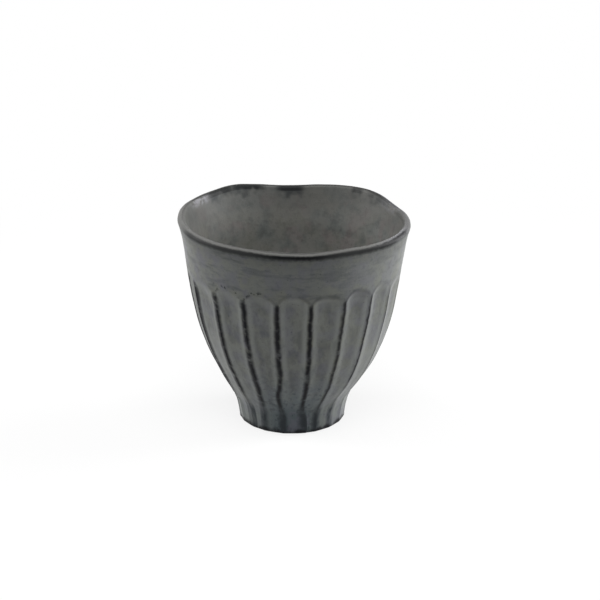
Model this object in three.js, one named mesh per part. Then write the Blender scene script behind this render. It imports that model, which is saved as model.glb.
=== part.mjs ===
// A handleless stoneware tea cup: a thrown bowl luted to a foot ring, fluted outside and glazed all over
// except where it stands. Millimetres, +Z up. The origin is on the table under the middle of the mouth,
// and the front of the cup faces -Y. Angles are degrees; a bearing is 0 at the front and 90 at +X.
import * as THREE from "three";

// Overall form. Thicknesses are finished ones, coats included.
const height = 80.7; // table to lip, before the lip's own unevenness
const mouthDiameter = 87; // outside the lip, before its lobes
const lipThickness = 2.8;
const wallThickness = 4.6; // from a ridge between flutes to the inside
const floorThickness = 6; // from the bowl's underside to the middle of the bowl
const coatThickness = 0.4; // glaze or iron wash

// Outside of the wall: one curve that leaves the foot at one lean and arrives under the lip at another
const wallLean = 37.2; // from upright, at the foot
const wallReach = 33.3; // how far the wall keeps that lean
const lipLean = 19; // from upright, under the lip
const lipReach = 14;
const bowlSweep = 12; // height above the floor where the inside starts to round in

// Foot ring
const footHeight = 11.1; // table to the bowl's underside
const footDiameter = 41.1; // at the table
const footTopDiameter = 45.4; // at the bowl
const footLean = 4; // from upright, at the table
const footReach = 5;
const footWall = 4.3; // clay at the table, under a ridge
const footBevel = 0.2; // both bottom edges
const footShift = 0.85; // the ring sits this far towards -X of the mouth's middle
const footShiftFade = 13.5; // height above the joint where the wall is back in line
const recessTaper = 0.8; // the hollow inside the ring narrows by this much, each side, up to the bowl
const slipThickness = 0.6; // layer of slip between ring and bowl
const bareStrip = 0.15; // unglazed clay above the bevel, outside
const bareRecess = 0.9; // and inside the ring

// Flutes
const fluteCount = 20;
const plainBand = 17.1; // from the lip down to the crowns of the flutes' arches
const archRise = 4; // crown above the ends of the arch, at the ridges
const fluteRunOut = 2.5; // length over which a cut reaches its depth
const fluteDepth = 1.3; // under the arches
const fluteFootDepth = 0.2; // at the table
const fluteTurn = -0.8; // bearing of the front flute's middle
const cutDrift = 0.8; // how far the ridges wander from an even spacing
const driftWaves = 3; // times round the cup
const driftTurn = -9; // bearing where the drift is greatest

// Lip
const lobeCount = 5;
const lobeDepth = 0.2; // the mouth's radius swings this much either way, widest at the front
const lipTilt = 1.1; // rise at -X and drop at +X
const lipWaveDepth = 30; // height over which the unevenness fades down the wall
const bandDrop = 1; // iron wash below the round of the lip, outside
const bandInside = 0.8; // and inside
const swellHeight = 1.3; // of the lip's highest swell
const lipSwells = [ // rises are shares of that height, and dips are less than nothing
  { bearing: -100, rise: 0.35, spread: 15 },
  { bearing: -53, rise: -0.5, spread: 23 },
  { bearing: 27, rise: 0.4, spread: 15 },
  { bearing: 113, rise: -0.6, spread: 12 },
  { bearing: 139, rise: 1, spread: 22 },
  { bearing: 184, rise: -0.8, spread: 17 },
  { bearing: 213, rise: 0.6, spread: 13 },
];

// Facets
const columnsPerFlute = 4;
const footRows = 2;
const lowerRows = 5;
const archRows = 4;
const bandRows = 2;
const lipRows = 4;
const insideRows = 5;
const floorRows = 4;

// Finishes
const stoneware = { color: 0x5f5349, roughness: 0.9 };
const slip = { color: 0x74675a, roughness: 0.95 };
const greyGlaze = { color: 0x6d706e, roughness: 0.45 };
const linerGlaze = { color: 0x747270, roughness: 0.5 };
const ironWash = { color: 0x2d2d2e, roughness: 0.4 };

const { degToRad: radians, euclideanModulo, lerp, smoothstep } = THREE.MathUtils;
const fullTurn = 360;
const halfTurn = 180;
const columns = Math.round(fluteCount * columnsPerFlute);
const flutePitch = fullTurn / fluteCount;
const outwards = new THREE.Vector2(1, 0);

// A unit vector that leans outwards from upright by an angle.
const leaning = (angle) => new THREE.Vector2(Math.sin(radians(angle)), Math.cos(radians(angle)));

// Along the finished surface, from the foot over the lip and into the bowl, the open side is on the right.
const rightOf = (way) => new THREE.Vector2(way.y, -way.x);

// Even steps from one value to another, without the first.
const steps = (from, to, count) => Array.from({ length: count }, (_, i) => lerp(from, to, (i + 1) / count));

// Outside curves of the foot and the wall, in radius and height
const footEdge = new THREE.Vector2(footDiameter / 2, 0);
const joint = new THREE.Vector2(footTopDiameter / 2, footHeight);
const lipCentre = new THREE.Vector2((mouthDiameter - lipThickness) / 2, height - lipThickness / 2);
const wallEnd = lipCentre.clone().addScaledVector(rightOf(leaning(lipLean)), lipThickness / 2);
const footCurve = new THREE.QuadraticBezierCurve(
  footEdge,
  footEdge.clone().addScaledVector(leaning(footLean), footReach),
  joint,
);
const wallCurve = new THREE.CubicBezierCurve(
  joint,
  joint.clone().addScaledVector(leaning(wallLean), wallReach),
  wallEnd.clone().addScaledVector(leaning(lipLean), -lipReach),
  wallEnd,
);

// Heights that pieces share
const glazeEdge = footBevel + bareStrip;
const recessEdge = footBevel + bareRecess;
const slipBottom = footHeight - slipThickness;
const floorLevel = footHeight + floorThickness;
const fluteTop = height - plainBand;
const fluteShoulder = fluteTop - archRise - fluteRunOut;
const bandEdge = wallEnd.y - bandDrop;
const insideEdge = wallEnd.y - bandInside;

// The share of a rising curve at which it reaches a height, by halving.
function shareAt(curve, level) {
  const halvings = 40;
  let low = 0;
  let high = 1;
  for (let i = 0; i < halvings; i += 1) {
    const middle = (low + high) / 2;
    if (curve.getPoint(middle).y < level) low = middle;
    else high = middle;
  }
  return high;
}

// A place on the finished surface and the clay one coat under it. Flutes cut the carved ones.
function station(point, normal, carved) {
  const clay = point.clone().addScaledVector(normal, -coatThickness);
  return { surface: { point, carved }, clay: { point: clay, carved }, normal };
}

function footStation(level) {
  return station(footCurve.getPoint(shareAt(footCurve, level)), outwards, true);
}

function wallStation(level) {
  const share = shareAt(wallCurve, level);
  return station(wallCurve.getPoint(share), rightOf(wallCurve.getTangent(share)), true);
}

function lipStation(angle) {
  const normal = new THREE.Vector2(Math.cos(radians(angle)), Math.sin(radians(angle)));
  return station(lipCentre.clone().addScaledVector(normal, lipThickness / 2), normal, false);
}

// The inside lies one wall thickness in from the outside, less towards the lip.
function insideStation(level) {
  const { surface, normal } = wallStation(level);
  const thickness = lerp(wallThickness, lipThickness, smoothstep(level, fluteTop, wallEnd.y));
  const point = surface.point.clone().addScaledVector(normal, -thickness);
  return station(point, normal.clone().negate(), false);
}

// Stations up the outside of the foot and the wall, over the lip and down the inside
const foot = [glazeEdge, ...steps(glazeEdge, slipBottom, footRows)].map(footStation);
const jointStation = station(joint, outwards, true);
const wall = [
  ...steps(footHeight, fluteShoulder, lowerRows),
  ...steps(fluteShoulder, fluteTop, archRows),
  ...steps(fluteTop, bandEdge, bandRows),
].map(wallStation);
const lip = [-lipLean, ...steps(-lipLean, halfTurn - lipLean, lipRows)].map(lipStation);
const inside = [insideEdge, ...steps(insideEdge, floorLevel + bowlSweep, insideRows)].map(insideStation);

// The bowl rounds in from the line of the wall and arrives level at the axis.
const sweep = inside.at(-1);
const sweepStart = sweep.surface.point;
const sweepSlope = sweep.normal.y / sweep.normal.x;
const sweepCorner = sweepStart.x + (sweepStart.y - floorLevel) * sweepSlope;
const sweepCurve = new THREE.QuadraticBezierCurve(
  sweepStart,
  new THREE.Vector2(sweepCorner, floorLevel),
  new THREE.Vector2(0, floorLevel),
);
const floor = steps(0, 1, floorRows).map((share) =>
  station(sweepCurve.getPoint(share), rightOf(sweepCurve.getTangent(share)), false),
);

// Depth of the flutes' cut at a bearing and a height. The way across a flute runs from -1 to 1.
function fluteCut(bearing, level) {
  const flute = (bearing - fluteTurn) / flutePitch;
  const across = 2 * (flute - Math.round(flute));
  const arch = fluteTop - archRise * (1 - Math.sqrt(1 - across ** 2));
  const depth = lerp(fluteFootDepth, fluteDepth, level / fluteTop);
  return depth * (1 - across ** 2) * smoothstep(arch - level, 0, fluteRunOut);
}

// Rise of the lip at a bearing: its tilt and its swells.
function lipRise(bearing) {
  const tilt = -lipTilt * Math.sin(radians(bearing));
  return lipSwells.reduce((rise, swell) => {
    const away = euclideanModulo(bearing - swell.bearing + halfTurn, fullTurn) - halfTurn;
    return rise + swellHeight * swell.rise * Math.exp(-((away / swell.spread) ** 2));
  }, tilt);
}

// Where a point of a section lies at a bearing of the hand-made cup.
function handMade({ point, carved }, bearing) {
  const { x: radius, y: level } = point;
  const cut = carved ? fluteCut(bearing, level) : 0;
  const drift = cutDrift * Math.cos(radians(driftWaves * (bearing - driftTurn)));
  const shift = footShift * (1 - smoothstep(level, footHeight, footHeight + footShiftFade));
  const wave = smoothstep(level, height - lipWaveDepth, height);
  const lobe = lobeDepth * Math.cos(radians(lobeCount * bearing));
  const reach = radius - cut + lobe * wave;
  const way = radians(bearing + drift);
  return [reach * Math.sin(way) - shift, -reach * Math.cos(way), level + lipRise(bearing) * wave];
}

// Turns a section into a solid. The facet pairs of the first rows, as many as given, are split the other way.
function turned(section, otherRows = 0) {
  const points = section.map(({ point }) => point);
  const geometry = new THREE.LatheGeometry(points, columns);
  const places = geometry.attributes.position;
  for (let i = 0; i < places.count; i += 1) {
    const column = Math.floor(i / section.length) % columns;
    const bearing = fluteTurn + (fullTurn * column) / columns;
    places.setXYZ(i, ...handMade(section[i % section.length], bearing));
  }
  const rows = section.length - 1;
  const corners = geometry.index.array;
  for (let pair = 0; pair < columns * rows; pair += 1) {
    if (pair % rows >= otherRows) continue;
    const first = 6 * pair;
    const [a, b, d, c] = corners.slice(first, first + 4);
    corners.set([a, b, c, a, c, d], first);
  }
  geometry.computeVertexNormals();
  return geometry;
}

// A coat lies between the clay and the finished surface along a run of stations. Its clay side and its first
// edge are split the other way, so that they meet the clay and the coat before it facet for facet.
function coat(run) {
  const section = [...run.map(({ clay }) => clay).reverse(), ...run.map(({ surface }) => surface)];
  const endsOnAxis = run.at(-1) === floor.at(-1);
  return turned(endsOnAxis ? section : [...section, section[0]], run.length);
}

// The hollow inside the ring
const recessRadius = footDiameter / 2 - coatThickness - footWall;
const recessAt = (level) => recessRadius - recessTaper * (level / footHeight);
const plain = (x, y) => ({ point: new THREE.Vector2(x, y), carved: false });
const recessPoint = (level, depth = 0) => plain(recessAt(level) - depth, level);

const clayOf = ({ clay }) => clay;
const bodySection = [
  plain(0, footHeight),
  ...[jointStation, ...wall, ...lip, ...inside, ...floor].map(clayOf),
];

const bareEdge = clayOf(footStation(footBevel));
const ringStart = plain(recessRadius + footBevel, 0);
const ringSection = [
  ringStart,
  { point: new THREE.Vector2(bareEdge.point.x - footBevel, 0), carved: true },
  bareEdge,
  ...foot.map(clayOf),
  recessPoint(slipBottom),
  recessPoint(footBevel),
  ringStart,
];

const slipSection = [
  recessPoint(slipBottom),
  clayOf(foot.at(-1)),
  clayOf(jointStation),
  recessPoint(footHeight),
  recessPoint(slipBottom),
];

const recessCeiling = footHeight - coatThickness;
const recessSection = [
  plain(0, recessCeiling),
  recessPoint(recessCeiling, coatThickness),
  recessPoint(recessEdge, coatThickness),
  recessPoint(recessEdge),
  recessPoint(footHeight),
  plain(0, footHeight),
];

function piece(name, geometry, finish) {
  const mesh = new THREE.Mesh(geometry, new THREE.MeshStandardMaterial({ ...finish, metalness: 0 }));
  mesh.name = name;
  return mesh;
}

const cup = new THREE.Group();
cup.add(
  piece("cup_body", turned(bodySection), stoneware),
  piece("foot_ring", turned(ringSection), stoneware),
  piece("luting_slip", turned(slipSection), slip),
  piece("outside_glaze", coat([...foot, jointStation, ...wall]), greyGlaze),
  piece("iron_lip", coat([wall.at(-1), ...lip, inside[0]]), ironWash),
  piece("inside_glaze", coat([...inside, ...floor]), linerGlaze),
  piece("recess_glaze", turned(recessSection), greyGlaze),
);

export default cup;
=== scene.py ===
import math
from types import SimpleNamespace
import bpy
import numpy as np
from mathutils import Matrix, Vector, noise


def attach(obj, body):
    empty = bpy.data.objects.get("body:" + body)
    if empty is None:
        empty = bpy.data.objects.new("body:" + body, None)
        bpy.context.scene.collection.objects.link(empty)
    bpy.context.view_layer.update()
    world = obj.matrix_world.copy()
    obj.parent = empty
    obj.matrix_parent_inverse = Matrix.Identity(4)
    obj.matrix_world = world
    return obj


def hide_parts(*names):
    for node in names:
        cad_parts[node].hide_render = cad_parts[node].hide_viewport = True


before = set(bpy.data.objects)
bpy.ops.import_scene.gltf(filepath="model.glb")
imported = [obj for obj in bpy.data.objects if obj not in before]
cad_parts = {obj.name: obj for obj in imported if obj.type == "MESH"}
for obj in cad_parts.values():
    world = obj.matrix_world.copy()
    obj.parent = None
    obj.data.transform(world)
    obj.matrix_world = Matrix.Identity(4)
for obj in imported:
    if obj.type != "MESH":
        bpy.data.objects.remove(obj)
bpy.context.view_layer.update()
print("frame loaded:", ", ".join(sorted(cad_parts)))

scene = bpy.context.scene
scene.view_settings.view_transform = "Standard"
metres = 0.001  # the cup is in millimetres and degrees; a bearing is 0 at the front and 90 at +X

cup = {
    "height": 80.7, "mouth": 87, "lipThick": 2.8, "wallThick": 4.6, "floorThick": 6, "coat": 0.4,
    "wallLean": 37.2, "wallReach": 33.3, "lipLean": 19, "lipReach": 14, "bowlSweep": 12,
    "lobes": 5, "lobeDepth": 0.2, "lipTilt": 1.1, "waveDepth": 30, "swellHeight": 1.3,
    "swells": (  # bearing, rise as a share of the height above, spread
        (-100, 0.35, 15), (-53, -0.5, 23), (27, 0.4, 15), (113, -0.6, 12),
        (139, 1, 22), (184, -0.8, 17), (213, 0.6, 13),
    ),
    "ironDrop": 1, "ironInside": 0.8,
}
foot = {
    "height": 11.1, "bottom": 41.1, "top": 45.4, "lean": 4, "reach": 5, "wall": 4.3, "bevel": 0.2,
    "shift": 0.85, "shiftFade": 13.5, "recessTaper": 0.8, "slip": 0.6,
    "bareStrip": 0.15, "bareRecess": 0.9, "fillDepth": 0.35, "fillReach": 1.6,
}
flutes = {
    "count": 20, "plainBand": 17.1, "archRise": 4, "archPower": 0.7, "crownSlip": 0.13,
    "runOut": 3, "depth": 1.3, "footDepth": 0.2,
    "turn": -0.8, "drift": 0.8, "driftWaves": 3, "driftTurn": -9,
    "crownLift": 0.6, "crownStep": 2, "crownStart": 2.46,  # the step and the start are radians
    "wander": 0.4, "wanderLength": 13, "wanderApart": 7.3,
    "softRunOut": 8, "softPlaces": ((-42, 32), (63, 14)),  # tops that fade in: bearing, how far round
    "slips": (  # ridges that leave their line: bearing, height where most, reach up and down, how far
        (26.2, 72, 28, 1.8), (44.2, 76, 28, 1.4), (-63.8, 48, 26, -3),
        (-9.8, 18, 6, -3.2), (8.2, 3, 7, 7), (-27.8, 3, 7, -3.6), (-81.8, 16, 18, 8),
    ),
}
hand = {  # what the potter's hands leave on every finished surface
    "lumpSize": 15, "lumpDepth": 0.16, "chatterSize": 5, "chatterDepth": 0.07, "chatterStart": 31.7,
    "ringPitch": 3.4, "ringDepth": 0.012, "ringLoss": 0.6,  # how much of the rings the flutes take away
    "ringTurn": 57,  # degrees round for each radian that the rings climb
}
net = {  # how fine the meshes are
    "fluteColumns": 18, "plainColumns": 8, "crease": 62, "curveSamples": 4001,
    "footStep": 0.8, "wallStep": 0.9, "archStep": 0.25, "bandStep": 0.7, "insideStep": 0.8,
    "lipRows": 25, "floorRows": 25, "recessRows": 14, "ceilingRows": 12,
    "everyOutside": 3, "everyLip": 4, "everyInside": 4, "everyFloor": 3,  # which rows stay under a coat
}


# Shapes

def leaning(angle):  # a way that leans outwards from upright
    return np.array([math.sin(math.radians(angle)), math.cos(math.radians(angle))])


def rightOf(way):
    return np.stack([way[..., 1], -way[..., 0]], -1)


def bezier(corners, shares):  # points and ways along a curve
    shares = np.asarray(shares, float)[:, None]
    row = [np.asarray(corner, float)[None] for corner in corners]
    while len(row) > 2:
        row = [a + (b - a) * shares for a, b in zip(row, row[1:])]
    way = row[1] - row[0]
    return row[0] + way * shares, way / np.linalg.norm(way, axis=1, keepdims=True)


def curveAt(corners, levels):  # points and ways of a rising curve at the given heights
    shares = np.linspace(0, 1, net["curveSamples"])
    return bezier(corners, np.interp(levels, bezier(corners, shares)[0][:, 1], shares))


def smooth(value, low, high):
    share = np.clip((value - low) / (high - low), 0, 1)
    return share * share * (3 - 2 * share)


def hump(value, middle, reach):
    return np.exp(-(((value - middle) / reach) ** 2))


def between(bearing, other):  # the shorter way round from one bearing to another
    return (bearing - other + 180) % 360 - 180


def roll(points, size, start=0.0):  # even noise from -1 to 1 at points of any shape
    flat = points.reshape(-1, 3) / size + start
    return np.array([noise.noise(Vector(p)) for p in flat]).reshape(points.shape[:-1])


footEdge = np.array([foot["bottom"] / 2, 0])
joint = np.array([foot["top"] / 2, foot["height"]])
lipRound = cup["lipThick"] / 2
lipCentre = np.array([cup["mouth"] / 2 - lipRound, cup["height"] - lipRound])
wallEnd = lipCentre + rightOf(leaning(cup["lipLean"])) * lipRound
footCurve = (footEdge, footEdge + leaning(foot["lean"]) * foot["reach"], joint)
wallCurve = (
    joint,
    joint + leaning(cup["wallLean"]) * cup["wallReach"],
    wallEnd - leaning(cup["lipLean"]) * cup["lipReach"],
    wallEnd,
)
glazeEdge = foot["bevel"] + foot["bareStrip"]
slipBottom = foot["height"] - foot["slip"]
floorLevel = foot["height"] + cup["floorThick"]
fluteTop = cup["height"] - flutes["plainBand"]
ridgeTop = wallEnd[1] - fluteTop + flutes["archRise"]  # measured down from the wall's end
bandEdge = wallEnd[1] - cup["ironDrop"]
insideEdge = wallEnd[1] - cup["ironInside"]
pitch = 360 / flutes["count"]


def stations(points, normals, carved):  # rows of radius, height, outward way and whether flutes cut them
    normals = np.broadcast_to(normals, points.shape)
    return np.column_stack([points, normals, np.full(len(points), float(carved))])


def footRows(levels):
    return stations(curveAt(footCurve, levels)[0], (1, 0), True)


def wallRows(levels):
    points, ways = curveAt(wallCurve, levels)
    return stations(points, rightOf(ways), True)


def lipRows(angles):
    ways = np.column_stack([np.cos(np.radians(angles)), np.sin(np.radians(angles))])
    return stations(lipCentre + ways * lipRound, ways, False)


def insideRows(levels):
    points, ways = curveAt(wallCurve, levels)
    normals = rightOf(ways)
    thinning = (cup["lipThick"] - cup["wallThick"]) * smooth(levels, fluteTop, wallEnd[1])
    thick = cup["wallThick"] + thinning
    return stations(points - normals * thick[:, None], -normals, False)


def floorRows(start, shares):  # the bowl rounds in from the wall's line and arrives level at the axis
    radius, level, across, up = start[:4]
    corner = (radius + (level - floorLevel) * up / across, floorLevel)
    points, ways = bezier(((radius, level), corner, (0, floorLevel)), shares)
    return stations(points, rightOf(ways), False)


def plainRows(*points):
    return stations(np.array(points, float), (0, 0), False)


def clayUnder(rows):  # the same rows one coat deeper
    under = rows.copy()
    under[:, :2] -= rows[:, 2:4] * cup["coat"]
    return under


def thin(rows, every):  # fewer rows, with the last one kept
    return np.vstack([rows[:-1:every], rows[-1:]])


def steps(start, *bounds):  # heights from start to each bound in turn, each bound with its step
    levels = [np.array([start])]
    for end, step in bounds:
        levels.append(np.linspace(start, end, max(1, round(abs(end - start) / step)) + 1)[1:])
        start = end
    return np.concatenate(levels)


def columnsRound(perFlute):  # flute number and place across it, -1 to 1, closer together at the ridges
    across = np.sin(np.pi / 2 * np.linspace(-1, 1, perFlute, endpoint=False))
    number = np.repeat(np.arange(flutes["count"]), perFlute)
    return number, np.tile(across, flutes["count"])


def lipRise(bearing):
    rise = -cup["lipTilt"] * np.sin(np.radians(bearing))
    for middle, share, spread in cup["swells"]:
        rise = rise + cup["swellHeight"] * share * hump(between(bearing, middle), 0, spread)
    return rise


def ridgeTurn(number, across, bearing, level):  # how far the cuts stray from an even spacing
    turn = flutes["drift"] * np.cos(np.radians(flutes["driftWaves"] * (bearing - flutes["driftTurn"])))
    ridgeNumber = np.round(number + across / 2 + 0.5)
    path = np.stack(np.broadcast_arrays(ridgeNumber * flutes["wanderApart"], 0 * level, level), -1)
    turn = turn + flutes["wander"] * roll(path, flutes["wanderLength"]) * across ** 2
    for middle, height, reach, slip in flutes["slips"]:
        share = np.clip(1 - np.abs(between(bearing, middle)) / (pitch / 2), 0, 1)
        turn = turn + slip * share * hump(level, height, reach)
    return turn


def fluteCut(number, across, bearing, level):  # how far under the arch, how soft its top, how deep
    hollow = 1 - across ** 2
    lift = np.sin(number * flutes["crownStep"] + flutes["crownStart"]) * flutes["crownLift"] * hollow
    bend = 1 - (across + flutes["crownSlip"] * hollow) ** 2
    arch = fluteTop + lift - flutes["archRise"] * (1 - bend ** flutes["archPower"]) - level
    tops = [hump(between(bearing, middle), 0, reach) for middle, reach in flutes["softPlaces"]]
    soft = np.max(tops, 0)
    runOut = flutes["runOut"] + (flutes["softRunOut"] - flutes["runOut"]) * soft
    depth = flutes["footDepth"] + (flutes["depth"] - flutes["footDepth"]) * level / fluteTop
    return arch, soft, depth * hollow * smooth(arch, 0, runOut)


def handMarks(even, bearing, level, carved, arch):  # throwing rings, lumps, chatter, the joint's fillet
    climb = 2 * np.pi * level / hand["ringPitch"] + bearing / hand["ringTurn"]
    marks = np.sin(climb) * hand["ringDepth"]
    marks = marks * (1 - hand["ringLoss"] * carved * smooth(arch, 0, flutes["runOut"]))
    marks = marks + roll(even, hand["lumpSize"]) * hand["lumpDepth"]
    marks = marks + roll(even, hand["chatterSize"], hand["chatterStart"]) * hand["chatterDepth"]
    return marks + carved * foot["fillDepth"] * hump(level, foot["height"], foot["fillReach"])


def handMade(rows, skin, perFlute):  # a section's places round the cup, and facts for the finishes
    number, across = (column[:, None] for column in columnsRound(perFlute))
    bearing = flutes["turn"] + (number + across / 2) * pitch
    radius, level, out, up, carved = (rows[None, :, i] for i in range(5))
    arch, soft, cut = fluteCut(number, across, bearing, level)
    wave = smooth(level, cup["height"] - cup["waveDepth"], cup["height"])
    lobe = cup["lobeDepth"] * np.cos(np.radians(cup["lobes"] * bearing)) * wave
    way = np.radians(bearing + ridgeTurn(number, across, bearing, level))
    shift = foot["shift"] * (1 - smooth(level, foot["height"], foot["height"] + foot["shiftFade"]))

    def places(marks):
        reach = radius - carved * cut + lobe + out * marks
        rise = level + lipRise(bearing) * wave + up * marks
        return np.stack([reach * np.sin(way) - shift, -reach * np.cos(way), rise], -1)

    even = places(0)
    marks = handMarks(even, bearing, level, carved, arch)
    ridge = np.where(carved > 0, (1 - np.abs(across)) * radius * math.pi / flutes["count"], radius)
    facts = {
        "ridge": ridge,  # how far to the nearest ridge
        "side": np.where(across > 0, -ridge, ridge),  # the same, less than nothing to the left of it
        "arch": arch,  # how far under the arch's edge
        "soft": soft,  # 1 where the arch fades in
        "under": wallEnd[1] - level,  # how far under the lip's edge
        "crest": np.degrees(np.arctan2(up, out)),  # degrees up over the lip
        "right": np.sin(np.radians(bearing)),
        "front": np.cos(np.radians(bearing)),
    }
    facts = {name: np.broadcast_to(values, even.shape[:2]) for name, values in facts.items()}
    return places(marks * skin[None]), facts


def solid(name, rows, skin, perFlute, onAxis):  # turns a section into a closed mesh
    places, facts = handMade(rows, skin, perFlute)
    columns, count = places.shape[:2]
    ids = np.arange(columns * count).reshape(columns, count)
    middle = rows[:, 0] == 0
    ids[:, middle] = ids[0, middle]  # one point where a row meets the axis
    used, ids = np.unique(ids, return_inverse=True)
    ids = ids.reshape(columns, count)
    after = np.roll(ids, -1, 0)
    quads = np.stack([ids, after, np.roll(after, -1, 1), np.roll(ids, -1, 1)], -1)
    if onAxis:  # a section that starts and ends on the axis isn't joined end to end
        quads = quads[:, :-1]
    faces = [list(dict.fromkeys(corners)) for corners in quads.reshape(-1, 4).tolist()]
    mesh = bpy.data.meshes.new(name)
    mesh.from_pydata((places.reshape(-1, 3)[used] * metres).tolist(), [], faces)
    for fact, values in facts.items():
        kept = np.ascontiguousarray(values.reshape(-1)[used], np.float32)
        mesh.attributes.new(fact, "FLOAT", "POINT").data.foreach_set("value", kept)
    mesh.shade_smooth()
    mesh.set_sharp_from_angle(angle=math.radians(net["crease"]))
    piece = bpy.data.objects.new(name, mesh)
    scene.collection.objects.link(piece)
    print(f"{name}: {len(mesh.vertices)} points, {len(faces)} faces")
    return piece


def coat(name, rows, every, onAxis=False):  # a coat between the clay and the finished surface
    under = thin(clayUnder(rows), every)[::-1]
    skin = np.repeat([0.0, 1.0], [len(under), len(rows)])
    return solid(name, np.vstack([under, rows]), skin, net["fluteColumns"], onAxis)


def bare(name, rows, onAxis=False):  # a piece without the marks of hands
    return solid(name, rows, np.zeros(len(rows)), net["plainColumns"], onAxis)


# Shader maths

class Wire:  # a socket that can be added, taken away, multiplied and compared
    def __init__(self, tree, socket=None):
        self.tree = tree
        self.socket = socket

    def node(self, kind, settings=None, sockets=None, output=0):
        made = self.tree.nodes.new(kind)
        for name, value in (settings or {}).items():
            setattr(made, name, value)
        for name, value in (sockets or {}).items():
            if isinstance(value, Wire):
                self.tree.links.new(value.socket, made.inputs[name])
            else:
                made.inputs[name].default_value = value
        return Wire(self.tree, made.outputs[output]) if made.outputs else None

    def maths(self, operation, first, second=0.0):
        return self.node("ShaderNodeMath", {"operation": operation}, {0: first, 1: second})

    def __add__(self, other):
        return self.maths("ADD", self, other)

    def __sub__(self, other):
        return self.maths("SUBTRACT", self, other)

    def __rsub__(self, other):
        return self.maths("SUBTRACT", other, self)

    def __mul__(self, other):
        return self.maths("MULTIPLY", self, other)

    def __abs__(self):
        return self.maths("ABSOLUTE", self)

    def __or__(self, other):  # the greater of the two
        return self.maths("MAXIMUM", self, other)

    __radd__ = __add__
    __rmul__ = __mul__

    def fade(self, low, high, before=0.0, after=1.0):  # a soft ramp from one value to another
        sockets = {0: self, 1: low, 2: high, 3: before, 4: after}
        return self.node("ShaderNodeMapRange", {"interpolation_type": "SMOOTHSTEP"}, sockets)

    def blend(self, first, second):  # first where this is 0, second where it is 1
        sockets = {0: self, 6: first, 7: second}
        return self.node("ShaderNodeMix", {"data_type": "RGBA"}, sockets, output=2)


def tone(red, green, blue):  # a colour as it looks on a screen
    screen = np.array([red, green, blue]) / 255
    linear = np.where(screen > 0.04045, ((screen + 0.055) / 1.055) ** 2.4, screen / 12.92)
    return (*linear.tolist(), 1.0)


def grain(place, size, detail=3.0, rough=0.5, often=(1, 1, 1)):  # soft noise, about 0.3 to 0.7
    place = place.node("ShaderNodeVectorMath", {"operation": "MULTIPLY"}, {0: place, 1: often})
    sockets = {"Vector": place, "Scale": 1 / size, "Detail": detail, "Roughness": rough}
    return place.node("ShaderNodeTexNoise", None, sockets)


def shaken(noisy, amount):  # a grain as a move to either side
    return (noisy - 0.5) * amount


def startFinish(name, facts=(), grains=None):  # an empty material, with its mesh's facts and its grains
    material = bpy.data.materials.new(name)
    material.use_nodes = True
    material.node_tree.nodes.clear()
    start = Wire(material.node_tree)
    place = start.node("ShaderNodeTexCoord", output=3)
    place = start.node("ShaderNodeVectorMath", {"operation": "SCALE"}, {0: place, "Scale": 1 / metres})
    finish = SimpleNamespace(material=material, start=start, place=place)
    for fact in facts:
        setattr(finish, fact, start.node("ShaderNodeAttribute", {"attribute_name": fact}, output=2))
    for kind, settings in (grains or {}).items():
        setattr(finish, kind, grain(place, *settings))
    return finish


def endFinish(finish, colour, roughness, height, bump, others):
    sockets = {"Strength": 1.0, "Distance": bump * metres, "Height": height}
    normal = finish.start.node("ShaderNodeBump", None, sockets)
    sockets = {"Base Color": colour, "Roughness": roughness, "Normal": normal, **others}
    shader = finish.start.node("ShaderNodeBsdfPrincipled", None, sockets)
    finish.start.node("ShaderNodeOutputMaterial", None, {"Surface": shader})


def satin(look, iron):  # a soft gloss, none where iron shows
    return {
        "Specular IOR Level": look["specular"],
        "Coat Weight": (1 - iron) * look["gloss"],
        "Coat Roughness": look["glossRough"],
    }


# Finishes

# Two or four numbers are a ramp: where it starts and ends, then its value before and after, or 0 and 1.
# It runs over a grain, millimetres, degrees round the lip, or how far right or front, from -1 to 1.
lipIron = {
    "run": (-0.2, 2.2, 1, 0), "ragged": 1.2, "sideLift": (0.45, 0.9, 0, 0.6),
    "sideLoss": (0.08, 0.42, 0, 0.17), "rightLoss": (0.4, 0.8, 1, 0.5),
    "leftEnd": (-0.96, -0.86, 0.7, 0), "rightEnd": (0.93, 0.985, 0, 0.8),
}


def rimIron(glaze, lift):  # iron that runs from the lip into the glaze under it, less towards the ends
    look = lipIron
    sides = abs(glaze.right)
    drop = glaze.under + sides.fade(*look["sideLift"]) + lift
    run = (drop + shaken(glaze.edge, look["ragged"])).fade(*look["run"])
    loss = sides.fade(*look["sideLoss"]) * glaze.right.fade(*look["rightLoss"])
    ends = glaze.right.fade(*look["leftEnd"]) + glaze.right.fade(*look["rightEnd"])
    return run * (1 - loss - ends)


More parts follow.
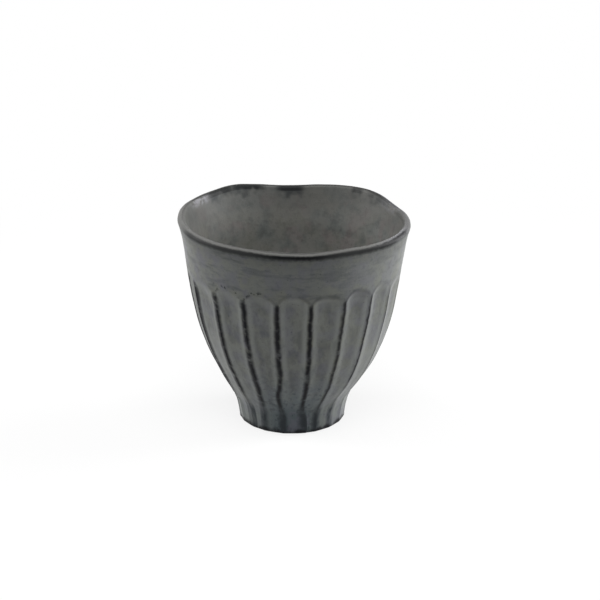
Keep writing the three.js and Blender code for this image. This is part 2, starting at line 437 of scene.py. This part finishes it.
greyGlaze = {
    # the shade colour is a darker grey for mottles and streaks, and painted shade on the band and in the
    # flute hollows
    "grey": tone(104, 107, 105), "olive": tone(111, 112, 100), "violet": tone(96, 95, 106),
    # the pooled grey is pooled glaze beside the ridges, and painted light on the band's right and the
    # lower wall's sides
    "pooledAndLit": tone(128, 131, 128), "shade": tone(74, 77, 78), "iron": tone(17, 18, 21),
    # the pale foot colour is painted light on the foot's sides
    "blue": tone(74, 84, 88), "night": tone(34, 42, 47), "footPale": tone(120, 126, 124),
    "grains": {  # size, detail, roughness, how often along x, y and z
        "broad": (6, 2), "cloud": (3.8, 4, 0.6, (1, 1, 0.5)), "streak": (6, 3, 0.6, (0.5, 0.5, 2)),
        "mottle": (1.7, 4, 0.6), "edge": (1.6, 3, 0.6), "dust": (0.55, 2),
        "stray": (3, 2, 0.5, (0.35, 0.35, 1)), "nick": (2.6, 2, 0.5, (0.6, 0.6, 1)),
    },
    "rimLift": (0.72, 0.95, 0, 1.6), "rimStain": (0, 7, 0.2, 0),
    "hem": (0.4, 2.4, 0.9, 0), "hemRagged": 6,
    "rough": 0.42, "roughMottle": 0.25, "roughIron": 0.1,
    "bump": 0.12, "mottleBump": 0.6, "dustBump": 0.25, "lineDip": 0.5,
    "specular": 0.08, "gloss": 0.3, "glossRough": 0.34,
}
greyGround = {
    "tints": (0.38, 0.62), "tinting": (0.3, 0.7, 0.15, 0.65), "mottling": (0.48, 0.72, 0, 0.4),
    # painted shade on the band away from its sides, and painted light at its right
    "band": (-2, 3, 1, 0), "bandShade": (0.25, 0.85, 0.3, 0),
    "bandStreaks": (0.46, 0.68, 0, 0.75), "bandLight": (0.1, 0.7, 0, 0.3),
    # painted shade in the flutes' hollows
    "hollowSide": (1, 3.5), "hollowTop": (0.5, 3),
    "hollowClouds": (0.4, 0.66), "hollowShade": (0.2, 0.7, 0.7, 0.45),
    "poolFrom": (0.8, 1.8), "poolTo": (1.8, 4, 1, 0), "poolTop": (0.5, 2),
    "crownFrom": (0.5, 2.5, 0, 0.6), "crownTo": (2.5, 7, 1, 0), "pools": (0.25, 0.55, 0, 0.65),
}


def groundColour(glaze):  # clouded grey, streaky on the plain band, with painted shade in the hollows and on the band away from its sides, painted light on the band's right, and pale pools beside ridges
    look = greyGround
    ridge, arch, right = glaze.ridge, glaze.arch, glaze.right
    band = arch.fade(*look["band"])
    # painted shade in the flutes' hollows, clouded, and less at the right
    hollow = ridge.fade(*look["hollowSide"]) * arch.fade(*look["hollowTop"])
    hollow = hollow * glaze.cloud.fade(*look["hollowClouds"]) * right.fade(*look["hollowShade"])
    pool = ridge.fade(*look["poolFrom"]) * ridge.fade(*look["poolTo"]) * arch.fade(*look["poolTop"])
    crown = arch.fade(*look["crownFrom"]) * arch.fade(*look["crownTo"])
    colour = glaze.broad.fade(*look["tints"]).blend(greyGlaze["olive"], greyGlaze["violet"])
    colour = glaze.cloud.fade(*look["tinting"]).blend(greyGlaze["grey"], colour)
    # painted shade: the plain band is darker at its front and back than at its sides
    colour = (band * abs(right).fade(*look["bandShade"])).blend(colour, greyGlaze["shade"])
    colour = hollow.blend(colour, greyGlaze["shade"])
    colour = (band * glaze.streak.fade(*look["bandStreaks"])).blend(colour, greyGlaze["shade"])
    # painted light: the plain band grows paler towards the right
    colour = (band * right.fade(*look["bandLight"])).blend(colour, greyGlaze["pooledAndLit"])
    colour = glaze.mottle.fade(*look["mottling"]).blend(colour, greyGlaze["shade"])
    return ((pool | crown) * glaze.cloud.fade(*look["pools"])).blend(colour, greyGlaze["pooledAndLit"])


greyLow = {
    "foot": (8, 15, 1, 0), "low": (8, 35, 1, 0), "lowRagged": 30, "lowMiddle": (0.25, 0.7, 1, 0.15),
    "blueing": 0.95, "spots": (0.5, 0.66, 0, 0.8), "spotClouds": 0.6,
    # painted light on the lower wall's sides and far left
    "sideLight": (0.45, 0.85, 0, 0.35), "leftLight": (-0.95, -0.75, 0.9, 0), "lightTop": (28, 52, 1, 0),
    "violets": (0.48, 0.62, 0, 0.55),
    # painted light on the foot's sides
    "paleSides": (0.1, 0.7), "paleClouds": (0.35, 0.6, 0.4, 1), "paleRight": (0.3, 0.7, 0.6, 0.25),
}


def lowColour(glaze, colour):  # blue-dark and spotted low on the wall, with painted light at its sides, violet on the foot, and painted light on the foot's sides
    look = greyLow
    sides = abs(glaze.right)
    low = (glaze.high + shaken(glaze.cloud, look["lowRagged"])).fade(*look["low"])
    low = low * sides.fade(*look["lowMiddle"])
    # painted light: the lower wall is paler at its sides and far left, fading out above
    lit = sides.fade(*look["sideLight"]) | glaze.right.fade(*look["leftLight"])
    spots = (glaze.mottle + shaken(glaze.cloud, look["spotClouds"])).fade(*look["spots"])
    # painted light: the foot is paler at its sides, broken by clouds, and less at the right
    pale = glaze.foot * sides.fade(*look["paleSides"]) * glaze.cloud.fade(*look["paleClouds"])
    colour = (lit * glaze.high.fade(*look["lightTop"])).blend(colour, greyGlaze["pooledAndLit"])
    colour = (low * look["blueing"]).blend(colour, greyGlaze["blue"])
    colour = (low * spots).blend(colour, greyGlaze["night"])
    colour = (glaze.foot * glaze.broad.fade(*look["violets"])).blend(colour, greyGlaze["violet"])
    return (pale * glaze.right.fade(*look["paleRight"])).blend(colour, greyGlaze["footPale"])


ridgeIron = {
    "line": (0.2, 1.35, 1, 0), "lean": 0.75, "wander": 1, "ragged": 0.3, "near": (1.9, 2.6, 1, 0),
    "wider": (-0.97, -0.92, 0.3, 0.55), "widerLeft": (-0.9, -0.6, 1, 0), "widerFront": (-0.3, 0.2),
    "narrower": ((-0.5, 0.1, 0.78, 1.03), (0.2, 0.5, 0, 0.35), (0.5, 0.9, 0, 0.6)),
    "fainter": ((0.15, 0.45, 0, 0.12), (0.65, 0.95, 0, 0.35)),
    "tip": (-2.2, 1), "tipRagged": 3, "tipThin": 0.9, "nicks": (0.5, 0.78, 1, 0.45), "footLoss": 0.7,
    "lowEnd": (13, 20, 1, 0), "lowSides": (0.35, 0.75, 0, 0.6), "lowLeft": (-0.97, -0.85),
    "rightEnd": (17, 26, 1, 0), "rightSide": (0.5, 0.7, 0, 0.7),
}


def offRidge(glaze):  # how far beside a ridge, ragged and leaning, and less at the left for wider lines
    look = ridgeIron
    off = glaze.side + shaken(glaze.stray, look["wander"])
    off = (off | off * -look["lean"]) + shaken(glaze.edge, look["ragged"])
    wider = glaze.right.fade(*look["wider"]) * glaze.right.fade(*look["widerLeft"])
    return off * (1 - wider * glaze.front.fade(*look["widerFront"]))


def ridgeLine(glaze, off):  # iron along a ridge, thin at its tip, nicked, fainter at the right and low
    look = ridgeIron
    begun = (glaze.under + shaken(glaze.edge, look["tipRagged"]) - ridgeTop).fade(*look["tip"])
    off = off * sum(glaze.right.fade(*ramp) for ramp in look["narrower"])
    line = (off * (1 + (1 - begun) * look["tipThin"])).fade(*look["line"]) * glaze.nearRidge * begun
    line = line * (1 - sum(glaze.right.fade(*ramp) for ramp in look["fainter"]))
    line = line * glaze.nick.fade(*look["nicks"]) * (1 - glaze.foot * look["footLoss"])
    lowEnd = glaze.high.fade(*look["lowEnd"]) * abs(glaze.right).fade(*look["lowSides"])
    rightEnd = glaze.high.fade(*look["rightEnd"]) * glaze.right.fade(*look["rightSide"])
    return line * (1 - lowEnd * glaze.right.fade(*look["lowLeft"])) * (1 - rightEnd)


footBand = {
    "band": (0.5, 2.3, 1, 0), "wider": (-0.66, -0.52, 0.4, 1), "clouds": (0.38, 0.58, 0.55, 1),
    "leftEnd": (-0.88, -0.78, 0.3, 1), "rightEnd": (0.74, 0.86, 1, 0.25),
}


def darkOnFoot(glaze, off):  # the lines spread into dark bands on the foot, less at both ends
    look = footBand
    band = (off * glaze.right.fade(*look["wider"])).fade(*look["band"]) * glaze.nearRidge * glaze.foot
    band = band * glaze.cloud.fade(*look["clouds"])
    return band * glaze.right.fade(*look["leftEnd"]) * glaze.right.fade(*look["rightEnd"])


archIron = {
    "bow": (0, 1.4, 1, 0), "ragged": 0.8, "bowClouds": (0.2, 0.55, 0, 0.32),
    "specks": (0.5, 0.61, 0, 0.8), "specksFrom": (-0.8, -0.65), "specksTo": (-0.3, -0.15, 1, 0),
    "dust": (0.68, 0.74, 0, 0.6),
}


def archMarks(glaze):  # a faint bow along each arch, specks on those at the left, and dust all over
    look = archIron
    bow = (abs(glaze.arch) + shaken(glaze.edge, look["ragged"])).fade(*look["bow"])
    specks = bow * glaze.edge.fade(*look["specks"])
    specks = specks * glaze.right.fade(*look["specksFrom"]) * glaze.right.fade(*look["specksTo"])
    bow = bow * (1 - glaze.soft) * glaze.cloud.fade(*look["bowClouds"])
    return bow | specks | glaze.dust.fade(*look["dust"])


def makeGreyGlaze():  # satin grey that breaks to iron on sharp edges and runs blue and dark at the foot
    look = greyGlaze
    facts = ("ridge", "side", "arch", "soft", "under", "right", "front")
    glaze = startFinish("greyGlaze", facts, look["grains"])
    glaze.high = glaze.start.node("ShaderNodeSeparateXYZ", None, {0: glaze.place}, output=2)
    glaze.foot = glaze.high.fade(*greyLow["foot"])
    glaze.nearRidge = glaze.ridge.fade(*ridgeIron["near"])
    off = offRidge(glaze)
    line = ridgeLine(glaze, off)
    rim = rimIron(glaze, glaze.right.fade(*look["rimLift"])) | glaze.under.fade(*look["rimStain"])
    hem = (glaze.high + shaken(glaze.cloud, look["hemRagged"])).fade(*look["hem"])
    iron = line | archMarks(glaze) | rim | hem
    colour = lowColour(glaze, groundColour(glaze))
    colour = darkOnFoot(glaze, off).blend(colour, look["night"])
    colour = iron.blend(colour, look["iron"])
    rough = look["rough"] + shaken(glaze.mottle, look["roughMottle"]) + iron * look["roughIron"]
    height = glaze.mottle * look["mottleBump"] + glaze.dust * look["dustBump"]
    height = height - line * glaze.edge * look["lineDip"]
    endFinish(glaze, colour, rough, height, look["bump"], satin(look, iron))
    return glaze.material


linerGlaze = {
    "grey": tone(123, 123, 120), "olive": tone(124, 124, 115), "rose": tone(133, 123, 121),
    # the shade colour is a darker grey for clouds and mottles, and painted shade under the lip, at the
    # left and on the lip's top
    "cool": tone(111, 117, 115), "shade": tone(80, 80, 78),
    # the frosty grey is frosty speckles with a painted highlight
    "iron": tone(28, 35, 40), "frostAndSheen": tone(158, 157, 164),
    "grains": {
        "broad": (9, 2), "other": (7, 3, 0.5, (0.9, 1.1, 1)), "cloud": (4.5, 4, 0.6),
        "mottle": (1.9, 4, 0.6), "blot": (4, 1), "dust": (0.6, 2),
    },
    "tints": (0.36, 0.64), "roses": (0.5, 0.7, 0, 0.8), "tinting": (0.3, 0.7, 0.2, 0.8),
    "clouds": (0.45, 0.7, 0, 0.4), "mottling": (0.48, 0.72, 0, 0.3), "specks": (0.69, 0.75, 0, 0.4),
    # painted shade under the lip and towards the left
    "lipShade": (1, 16, 0.65, 0), "leftShade": (-0.95, -0.45, 0.3, 0),
    "smudges": (  # iron inside the lip at the back: how far right, how wide, how strong
        (-0.7, 0.16, 1), (-0.45, 0.2, 1), (-0.05, 0.17, 1), (0.6, 0.07, 0.6), (0.8, 0.12, 0.5),
    ),
    "smudgeDrop": (-0.6, 2.6, 0.68, 0), "smudgeRagged": 8,
    "frostAndSheenPlaces": ((-0.87, 0.12, 1), (0.9, 0.09, 0.4)),  # and frosty places with a painted highlight
    "frostAndSheenDrop": (-0.5, 1.8, 0.6, 0), "frostAndSheenMottle": (0.35, 0.6),
    "patchCore": 0.4, "patchBack": (-0.4, -0.1, 1, 0),
    "rough": 0.48, "roughMottle": 0.25, "bump": 0.1, "mottleBump": 0.7, "dustBump": 0.3,
    "specular": 0.1, "gloss": 0.12, "glossRough": 0.42,
}


def backPatches(glaze, patches):  # soft patches round the back of the lip
    most = 0.0
    for place, width, share in patches:
        most = abs(glaze.right - place).fade(width * linerGlaze["patchCore"], width, share, 0) | most
    return most * glaze.front.fade(*linerGlaze["patchBack"])


def linerColour(glaze):  # warm mottled grey, with painted shade under the lip and towards the left, smudged with iron under the lip, and where that iron is
    look = linerGlaze
    colour = glaze.broad.fade(*look["tints"]).blend(look["olive"], look["cool"])
    colour = glaze.other.fade(*look["roses"]).blend(colour, look["rose"])
    colour = glaze.cloud.fade(*look["tinting"]).blend(look["grey"], colour)
    colour = glaze.cloud.fade(*look["clouds"]).blend(colour, look["shade"])
    colour = glaze.mottle.fade(*look["mottling"]).blend(colour, look["shade"])
    # painted shade: darker under the lip and towards the left
    colour = glaze.under.fade(*look["lipShade"]).blend(colour, look["shade"])
    colour = glaze.right.fade(*look["leftShade"]).blend(colour, look["shade"])
    # frosty speckles with a painted highlight inside the lip, at the back's far left and right
    frostAndSheen = backPatches(glaze, look["frostAndSheenPlaces"]) * glaze.under.fade(*look["frostAndSheenDrop"])
    colour = (frostAndSheen * glaze.mottle.fade(*look["frostAndSheenMottle"])).blend(colour, look["frostAndSheen"])
    drop = glaze.under + shaken(glaze.blot, look["smudgeRagged"])
    iron = backPatches(glaze, look["smudges"]) * drop.fade(*look["smudgeDrop"])
    return iron.blend(colour, look["iron"]), iron


def makeLinerGlaze():
    look = linerGlaze
    glaze = startFinish("linerGlaze", ("under", "right", "front"), look["grains"])
    colour, iron = linerColour(glaze)
    colour = glaze.dust.fade(*look["specks"]).blend(colour, look["iron"])
    rough = look["rough"] + shaken(glaze.mottle, look["roughMottle"])
    height = glaze.mottle * look["mottleBump"] + glaze.dust * look["dustBump"]
    endFinish(glaze, colour, rough, height, look["bump"], satin(look, iron))
    return glaze.material


ironWash = {
    # the light line colours are a painted highlight along the lip, the pale one at the right
    "iron": tone(15, 16, 18), "crestHighlight": tone(107, 107, 105), "pale": tone(123, 123, 126),
    # the crest colour is painted shade on the lip's top
    "crest": tone(60, 60, 58),
    "grains": {"edge": (1.6, 3, 0.6), "uneven": (6, 4, 0.6), "dust": (0.5, 2)},
    "ironTo": (2, 38, 1, 0), "highlightTo": (52, 76, 1, 0), "ragged": 26, "paleRight": (0.6, 0.9),
    "sidesMore": ((0.1, 0.5, 0, 16), (0.5, 0.9, 0, 17)),  # degrees further up, for the iron and the painted highlight
    "rightMore": ((0.5, 0.9, 0, 8), (0.8, 0.92, 0, 15)),
    "top": (105, 140, 1, 0), "topFront": (0.2, 0.75), "bottom": (-10, 25, 1, 0),
    # the right end ramp is painted shade at the lip's right end
    "rightEnd": (0.94, 0.985, 0, 0.7), "rimLift": (0.78, 0.93),
    "back": (-0.5, 0.05, 0.7, 0), "backFrom": (40, 65), "backTo": (100, 128, 1, 0), "backRagged": 60,
    "smudgeFrom": (70, 95),
    "rough": 0.45, "roughEdge": 0.3, "bump": 0.1, "edgeBump": 0.6, "dustBump": 0.4,
    "specular": 0.06, "gloss": 0.2, "glossRough": 0.36,
}


def makeIronWash():  # near black outside the lip, a painted highlight before its crest, painted shade on its top and right end, and dark again at the back
    look = ironWash
    grains = {**linerGlaze["grains"], **look["grains"]}
    glaze = startFinish("ironWash", ("under", "right", "front", "crest"), grains)
    crest, right, front = glaze.crest, glaze.right, glaze.front
    colour, smudge = linerColour(glaze)
    # painted shade on the lip's top, darkest at the front
    top = front.fade(*look["topFront"]).blend(linerGlaze["shade"], look["crest"])
    colour = crest.fade(*look["top"]).blend(colour, top)
    cover = crest + shaken(glaze.edge, look["ragged"])
    cover = cover - sum(abs(right).fade(*ramp) for ramp in look["sidesMore"])
    cover = cover - sum(right.fade(*ramp) for ramp in look["rightMore"])
    # painted highlight along the lip before its crest, paler at the right
    crestHighlight = right.fade(*look["paleRight"]).blend(look["crestHighlight"], look["pale"])
    colour = cover.fade(*look["highlightTo"]).blend(colour, crestHighlight)
    colour = crest.fade(*look["bottom"]).blend(colour, greyGlaze["grey"])
    # painted shade at the lip's right end
    colour = right.fade(*look["rightEnd"]).blend(colour, linerGlaze["shade"])
    outer = cover.fade(*look["ironTo"]) * rimIron(glaze, right.fade(*look["rimLift"]))
    back = (crest + shaken(glaze.uneven, look["backRagged"])).fade(*look["backTo"])
    back = back * crest.fade(*look["backFrom"]) * front.fade(*look["back"])
    iron = outer | back | smudge * crest.fade(*look["smudgeFrom"])
    colour = iron.blend(colour, look["iron"])
    rough = look["rough"] + shaken(glaze.edge, look["roughEdge"])
    height = glaze.edge * look["edgeBump"] + glaze.dust * look["dustBump"]
    endFinish(glaze, colour, rough, height, look["bump"], satin(look, iron))
    return glaze.material


bareClay = {
    "clay": tone(80, 71, 63), "dark": tone(48, 43, 39), "grit": tone(126, 116, 105),
    "grains": {"cloud": (5, 4, 0.6), "sand": (0.45, 3, 0.7)},
    "clouds": (0.35, 0.68), "grits": (0.62, 0.7, 0, 0.7),
    "rough": 0.88, "roughSand": 0.15, "bump": 0.25, "cloudBump": 0.5, "specular": 0.2,
}


def makeBareClay():  # dark gritty stoneware
    look = bareClay
    finish = startFinish("bareClay", (), look["grains"])
    colour = finish.cloud.fade(*look["clouds"]).blend(look["clay"], look["dark"])
    colour = finish.sand.fade(*look["grits"]).blend(colour, look["grit"])
    rough = look["rough"] + shaken(finish.sand, look["roughSand"])
    height = finish.sand + finish.cloud * look["cloudBump"]
    endFinish(finish, colour, rough, height, look["bump"], {"Specular IOR Level": look["specular"]})
    return finish.material


slipClay = {
    "slip": tone(116, 104, 91), "brushed": tone(92, 82, 72),
    "grains": {"streak": (1.2, 3, 0.6, (1, 1, 4)), "dust": (0.3, 2)},
    "streaks": (0.38, 0.66),
    "rough": 0.94, "roughStreak": 0.1, "bump": 0.12, "dustBump": 0.4, "specular": 0.2,
}


def makeSlipClay():  # smooth dried slip, streaked where it was brushed
    look = slipClay
    finish = startFinish("slipClay", (), look["grains"])
    colour = finish.streak.fade(*look["streaks"]).blend(look["slip"], look["brushed"])
    rough = look["rough"] - finish.streak * look["roughStreak"]
    height = finish.streak + finish.dust * look["dustBump"]
    endFinish(finish, colour, rough, height, look["bump"], {"Specular IOR Level": look["specular"]})
    return finish.material


# Pieces

archBottom = fluteTop - flutes["archRise"] - flutes["runOut"] - flutes["crownLift"]
archTop = fluteTop + flutes["crownLift"]
wallSteps = ((archBottom, net["wallStep"]), (archTop, net["archStep"]), (bandEdge, net["bandStep"]))
footSkin = footRows(steps(glazeEdge, (slipBottom, net["footStep"])))
jointSkin = stations(joint[None], (1, 0), True)
wallSkin = wallRows(steps(foot["height"], *wallSteps)[1:])
lipSkin = lipRows(np.linspace(-cup["lipLean"], 180 - cup["lipLean"], net["lipRows"]))
insideSkin = insideRows(steps(insideEdge, (floorLevel + cup["bowlSweep"], net["insideStep"])))
floorSkin = floorRows(insideSkin[-1], np.linspace(0, 1, net["floorRows"])[1:])

recessRadius = foot["bottom"] / 2 - cup["coat"] - foot["wall"]


def recessPoint(level, inset=0.0):  # on the wall of the hollow under the cup
    return recessRadius - foot["recessTaper"] * level / foot["height"] - inset, level


def makeCupBody():  # the clay bowl, one coat under the glazes
    skin = np.vstack([
        jointSkin,
        thin(wallSkin, net["everyOutside"]),
        thin(lipSkin, net["everyLip"]),
        thin(insideSkin, net["everyInside"]),
        thin(floorSkin, net["everyFloor"]),
    ])
    return bare("cupBody", np.vstack([plainRows((0, foot["height"])), clayUnder(skin)]), onAxis=True)


def makeFootRing():  # the clay ring under the bowl, bare where it meets the table
    edge = clayUnder(footRows(np.array([foot["bevel"]])))
    bottom = edge.copy()
    bottom[:, :2] = (edge[0, 0] - foot["bevel"], 0)
    return bare("footRing", np.vstack([
        plainRows((recessRadius + foot["bevel"], 0)),
        bottom,
        edge,
        clayUnder(footSkin),
        plainRows(*[recessPoint(level) for level in (slipBottom, foot["height"] / 2, foot["bevel"])]),
    ]))


def makeLutingSlip():  # the thin layer that joins the ring to the bowl
    return bare("lutingSlip", np.vstack([
        plainRows(recessPoint(slipBottom)),
        clayUnder(footSkin[-1:]),
        clayUnder(jointSkin),
        plainRows(recessPoint(foot["height"])),
    ]))


def makeOutsideGlaze():
    return coat("outsideGlaze", np.vstack([footSkin, jointSkin, wallSkin]), net["everyOutside"])


def makeIronLip():
    return coat("ironLip", np.vstack([wallSkin[-1:], lipSkin, insideSkin[:1]]), net["everyLip"])


def makeInsideGlaze():
    return coat("insideGlaze", np.vstack([insideSkin, floorSkin]), net["everyInside"], onAxis=True)


def makeRecessGlaze():  # over the ceiling of the hollow and down its wall
    ceiling = foot["height"] - cup["coat"]
    reach = recessPoint(ceiling, cup["coat"])[0]
    levels = np.linspace(ceiling, foot["bevel"] + foot["bareRecess"], net["recessRows"])
    return bare("recessGlaze", np.vstack([
        plainRows(*[(reach * share, ceiling) for share in np.linspace(0, 1, net["ceilingRows"])]),
        plainRows(*[recessPoint(level, cup["coat"]) for level in levels[1:]]),
        plainRows(recessPoint(levels[-1]), recessPoint(foot["height"]), (0, foot["height"])),
    ]), onAxis=True)


grey = makeGreyGlaze()
clay = makeBareClay()
made = [
    (makeCupBody(), "cup_body", "stoneware", clay),
    (makeFootRing(), "foot_ring", "stoneware", clay),
    (makeLutingSlip(), "luting_slip", "luting_slip", makeSlipClay()),
    (makeOutsideGlaze(), "outside_glaze", "grey_glaze", grey),
    (makeIronLip(), "iron_lip", "iron_wash", makeIronWash()),
    (makeInsideGlaze(), "inside_glaze", "liner_glaze", makeLinerGlaze()),
    (makeRecessGlaze(), "recess_glaze", "grey_glaze", grey),
]
for piece, node, slot, finish in made:
    piece.data.materials.append(finish)
    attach(piece, "root")
    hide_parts(node)
print("pieces dressed:", len(made))


# Studio

studio = {  # places and sizes in metres
    "floorSize": 8, "floor": tone(196, 196, 196), "paper": tone(250, 250, 250), "white": (1, 1, 1, 1),
    "dim": 0.17, "shadow": (60, 300, 0.2, 0),  # a ramp over millimetres from the cup's axis
    "lamps": (  # name, place, width, height, watts
        ("topBox", (0, -0.4, 1.02), 0.7, 0.7, 6.8),
        ("rightBox", (0.84, 0.22, 0.3), 0.5, 0.6, 10),
        ("leftBox", (-0.84, 0.2, 0.42), 0.5, 0.84, 6.4),
    ),
    "distance": 0.64, "above": 21.55, "aim": (0, 0, 0.0403), "lens": 100.23, "shift": (0.0095, 0.0267),
}


def seenRays(start):  # 1 for rays that show the background: from the camera, mirrored or through glass
    outputs = start.node("ShaderNodeLightPath").socket.node.outputs
    names = ("Is Camera Ray", "Is Glossy Ray", "Is Transmission Ray")
    camera, mirrored, through = (Wire(start.tree, outputs[name]) for name in names)
    return camera | mirrored | through


def makeWorld():
    world = bpy.data.worlds.new("studioWhite")
    world.use_nodes = True
    world.node_tree.nodes.clear()
    start = Wire(world.node_tree)
    dim = start.node("ShaderNodeBackground", None, {"Color": studio["white"], "Strength": studio["dim"]})
    white = start.node("ShaderNodeBackground", None, {"Color": studio["white"], "Strength": 1.0})
    both = start.node("ShaderNodeMixShader", None, {0: seenRays(start), 1: dim, 2: white})
    start.node("ShaderNodeOutputWorld", None, {"Surface": both})
    scene.world = world


def makeFloor():  # pale paper that looks white away from the cup and keeps its shadow
    half = studio["floorSize"] / 2
    corners = [(-half, -half, 0), (half, -half, 0), (half, half, 0), (-half, half, 0)]
    mesh = bpy.data.meshes.new("floor")
    mesh.from_pydata(corners, [], [(0, 1, 2, 3)])
    floor = bpy.data.objects.new("floor", mesh)
    scene.collection.objects.link(floor)
    finish = startFinish("floorPaper")
    start = finish.start
    lit = start.node("ShaderNodeBsdfDiffuse", None, {"Color": studio["floor"]})
    paper = start.node("ShaderNodeBsdfDiffuse", None, {"Color": studio["paper"]})
    white = start.node("ShaderNodeEmission", None, {"Color": studio["white"], "Strength": 1.0})
    away = start.node("ShaderNodeVectorMath", {"operation": "LENGTH"}, {0: finish.place}, output=1)
    shadow = away.fade(*studio["shadow"])
    seen = start.node("ShaderNodeMixShader", None, {0: shadow, 1: white, 2: paper})
    both = start.node("ShaderNodeMixShader", None, {0: seenRays(start), 1: lit, 2: seen})
    start.node("ShaderNodeOutputMaterial", None, {"Surface": both})
    mesh.materials.append(finish.material)


def makeLamps():
    for name, place, width, height, watts in studio["lamps"]:
        lamp = bpy.data.lights.new(name, "AREA")
        lamp.shape = "RECTANGLE"
        lamp.size = width
        lamp.size_y = height
        lamp.energy = watts
        box = bpy.data.objects.new(name, lamp)
        box.location = place
        box.rotation_euler = (Vector(studio["aim"]) - Vector(place)).to_track_quat("-Z", "Y").to_euler()
        scene.collection.objects.link(box)


def makeCamera():
    above = math.radians(studio["above"])
    back = Vector((0, -math.cos(above), math.sin(above)))
    lens = bpy.data.cameras.new("camera")
    lens.lens = studio["lens"]
    lens.shift_x, lens.shift_y = studio["shift"]
    camera = bpy.data.objects.new("camera", lens)
    camera.location = Vector(studio["aim"]) + back * studio["distance"]
    camera.rotation_euler = (-back).to_track_quat("-Z", "Y").to_euler()
    scene.collection.objects.link(camera)
    scene.camera = camera


makeWorld()
makeFloor()
makeLamps()
makeCamera()
print("studio ready")
